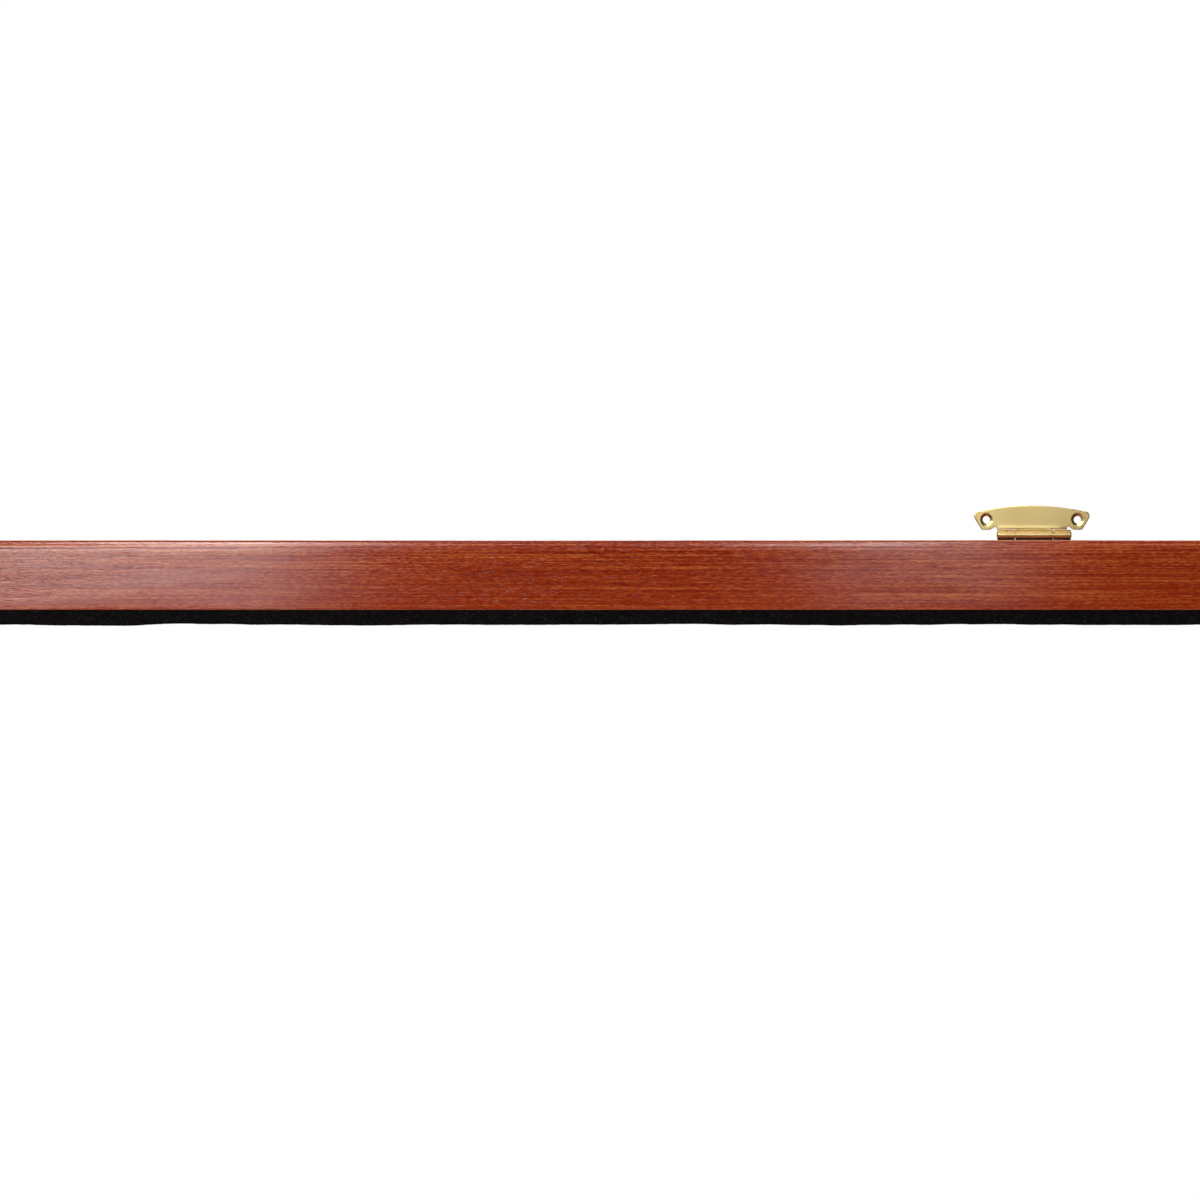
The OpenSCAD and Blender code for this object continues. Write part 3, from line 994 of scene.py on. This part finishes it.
def screw_profile():
    """(radius, depth) of a countersunk wood screw with a ringed thread."""
    rim, dish, tip = 0.2 * MM, 0.12 * MM, 0.1 * MM
    neck, root, pitch = SCREW_SHANK_R * 0.9, SCREW_SHANK_R * 0.66, 1.1 * MM
    thread_start, thread_end = 4 * MM, SCREW_LENGTH - 3 * MM
    profile = [(0, dish), (SCREW_HEAD_R - 0.5 * MM, dish), (SCREW_HEAD_R - rim, 0.05 * MM)]
    profile += [(SCREW_HEAD_R, rim), (neck, SCREW_HEAD_R - neck + rim), (neck, thread_start)]
    depth = thread_start
    while depth < thread_end:
        profile += [(root, depth + 0.3 * pitch), (root, depth + 0.5 * pitch)]
        profile += [(SCREW_SHANK_R, depth + 0.75 * pitch)]
        depth += pitch
    return profile + [(root, depth + 0.3 * pitch), (tip, SCREW_LENGTH - tip), (0, SCREW_LENGTH)]


def cross_cutter(x, z):
    """Tapered cross recess for a screw head on the wall plane."""
    width, reach, depth, above = 0.45 * MM, 1.9 * MM, 1.5 * MM, 0.5 * MM
    cross = []
    arm = [(width, reach), (-width, reach), (-width, width)]
    for _ in range(4):
        cross += arm
        arm = [(-b, a) for a, b in arm]
    bm = bmesh.new()
    rings = []
    for scale, y in ((1.25, above), (0.35, -depth)):
        rings.append([Vector((x + a * scale, y, z + b * scale)) for a, b in cross])
    loft(bm, rings)
    return new_object("cutter", bm, None)


def make_rail_screws(side):
    """The two countersunk screws that hold a rail wing."""
    for s, end in ((-1, "l"), (1, "r")):
        x = BARREL_X[side] + s * SCREW_X
        bm = lathe(screw_profile(), lambda a, b, h, x=x: Vector((x + a, -h, SCREW_Z + b)), 40)
        screw = new_object(f"rail_screw_{side}_{end}", bm, PALE_BRASS)
        cut(screw, [cross_cutter(x, SCREW_Z)])
        finish_piece(screw, RAIL, "pale_brass", f"hinge_{side}_rail_screws")


# ---- Studio ----------------------------------------------------------------------

CAMERA_DISTANCE = 4.0
LENS, SENSOR = 200, 36
# The view's middle, left of the right hinge and below its screw holes
VIEW_LEFT_OF_HINGE = 0.262
VIEW_BELOW_HOLES = 0.0487
FLOOR_Z, FLOOR_SIZE = -1.3, 9
# Where the large soft boxes point
LIT_PLACE_Z = -0.03
# The world's grey on the left and on the right, and what is left of it behind the camera
GREY_LEFT, GREY_RIGHT, GREY_SHARE_AT_CAMERA = 0.24, 0.05, 0.05
# Upright panels in front of the rail that show in its lacquer: left, right, bottom, top and radiance
GLOSS_DISTANCE = 1.5
GLOSS_PANELS = {
    "left_gloss": (-0.55, -0.125, -0.04, 0.9, 9.0),
    "left_high": (-0.35, -0.12, 0.9, 3.6, 9.6),
    "right_gloss": (0.305, 0.455, -0.04, 0.9, 4.1),
    "right_high": (0.3, 0.41, 0.9, 3.6, 14.5),
}
# Narrow panels over the rail that show in its rounded edge: middle, width and radiance
TOP_PANELS = {"left_top": (-0.29, 0.26, 22.0), "right_top": (0.415, 0.09, 21.0)}
TOP_PANEL_Y, TOP_PANEL_Z, TOP_PANEL_DEPTH = -0.55, 2.6, 1.1


def make_camera():
    """Level camera, square on to the rail's front, with the right-hand hinge in the picture's right half."""
    data = bpy.data.cameras.new("camera")
    data.sensor_width = SENSOR
    data.lens = LENS
    data.clip_end = 60
    camera = bpy.data.objects.new("camera", data)
    camera.location = (WING_X["right"] - VIEW_LEFT_OF_HINGE, RAIL_FRONT - CAMERA_DISTANCE, -VIEW_BELOW_HOLES)
    camera.rotation_euler = (math.radians(90), 0, 0)
    bpy.context.scene.collection.objects.link(camera)
    bpy.context.scene.camera = camera
    return camera


def panel(name, centre, target, width, height, radiance):
    """Soft box that lights and reflects but isn't seen by the camera."""
    data = bpy.data.lights.new(name, "AREA")
    data.shape = "RECTANGLE"
    data.size, data.size_y = width, height
    data.energy = radiance * math.pi * width * height
    light = bpy.data.objects.new(name, data)
    light.location = centre
    light.rotation_euler = (Vector(target) - Vector(centre)).to_track_quat("-Z", "Y").to_euler()
    light.visible_camera = False
    bpy.context.scene.collection.objects.link(light)


def make_world():
    """White to the camera. To everything else a dim grey, darker where the camera stands."""
    world = bpy.data.worlds.new("studio")
    world.use_nodes = True
    tree = world.node_tree
    tree.nodes.clear()

    def add(kind, inputs=(), **settings):
        return add_node(tree, kind, inputs, **settings)

    def along(axis):
        """How far the ray points along an axis, from -1 to 1."""
        direction = add("ShaderNodeTexCoord").outputs["Generated"]
        return add("ShaderNodeVectorMath", {0: direction, 1: axis}, operation="DOT_PRODUCT").outputs["Value"]

    def ramp(value, low, high, to_low, to_high):
        """value taken from the range low..high to to_low..to_high, clamped."""
        inputs = {"Value": value, "From Min": low, "From Max": high, "To Min": to_low, "To Max": to_high}
        return add("ShaderNodeMapRange", inputs).outputs[0]

    level = ramp(along((1, 0, 0)), -0.7, 0.6, GREY_LEFT, GREY_RIGHT)
    gap = ramp(along((0, -1, 0)), 0.92, 0.98, 1.0, GREY_SHARE_AT_CAMERA)
    grey = add("ShaderNodeMath", {0: level, 1: gap}, operation="MULTIPLY").outputs[0]
    dim = add("ShaderNodeBackground", {"Color": (1, 1, 1, 1), "Strength": grey})
    white = add("ShaderNodeBackground", {"Color": (1, 1, 1, 1), "Strength": 1.0})
    seen = add("ShaderNodeLightPath").outputs["Is Camera Ray"]
    mix = add("ShaderNodeMixShader", {0: seen, 1: dim.outputs[0], 2: white.outputs[0]})
    add("ShaderNodeOutputWorld", {"Surface": mix.outputs[0]})
    bpy.context.scene.world = world


def make_floor():
    """Plain pale floor, far enough below the rail to stay out of the front view."""
    s = Surface("floor", Roughness=0.9, Base_Color=(0.86, 0.86, 0.85, 1))
    bm = bmesh.new()
    bmesh.ops.create_grid(bm, x_segments=1, y_segments=1, size=FLOOR_SIZE)
    floor = new_object("floor", bm, s.material)
    floor.location = (0, 0, FLOOR_Z)


def make_lights(camera):
    """Large soft boxes, and the panels whose reflections the lacquer shows."""
    eye = camera.location
    middle = (eye.x, RAIL_FRONT, LIT_PLACE_Z)
    panel("overhead", (eye.x - 0.35, -1.9, 2.2), middle, 3.0, 1.9, radiance=0.2)
    panel("key", (eye.x - 3.2, -2.9, 2.6), middle, 2.5, 2.5, radiance=4.2)
    for name, (x0, x1, z0, z1, radiance) in GLOSS_PANELS.items():
        centre = Vector(((x0 + x1) / 2, RAIL_FRONT - GLOSS_DISTANCE, (z0 + z1) / 2))
        panel(name, centre, centre + Vector((0, 1, 0)), x1 - x0, z1 - z0, radiance)
    for name, (x, width, radiance) in TOP_PANELS.items():
        below = (x, TOP_PANEL_Y, 0)
        panel(name, (x, TOP_PANEL_Y, TOP_PANEL_Z), below, width, TOP_PANEL_DEPTH, radiance)
    # For the views from behind
    panel("back", (0.3, 3.0, 1.6), (0, 0, LIT_PLACE_Z), 2.4, 1.4, radiance=2.6)


# ---- Build -----------------------------------------------------------------------

bpy.context.scene.view_settings.view_transform = "Standard"
make_world()
make_lights(make_camera())
make_floor()

make_wrap()
for cap_side in SIDES:
    make_end_cap(cap_side)
paint_front_board()
for number in range(1, CUE_COUNT + 2):
    make_block(number)
    make_felt_under(f"felt_pad_{number}", f"underfelt_{number}", 2.0 + number)
make_felt_under("felt_strip", "underfelt_front", 1.0)
for number in range(1, CUE_COUNT + 1):
    make_liner(number)
for hinge_side in SIDES:
    make_wall_wing(hinge_side)
    make_rail_wing(hinge_side)
    make_pin(hinge_side)
    make_rail_screws(hinge_side)
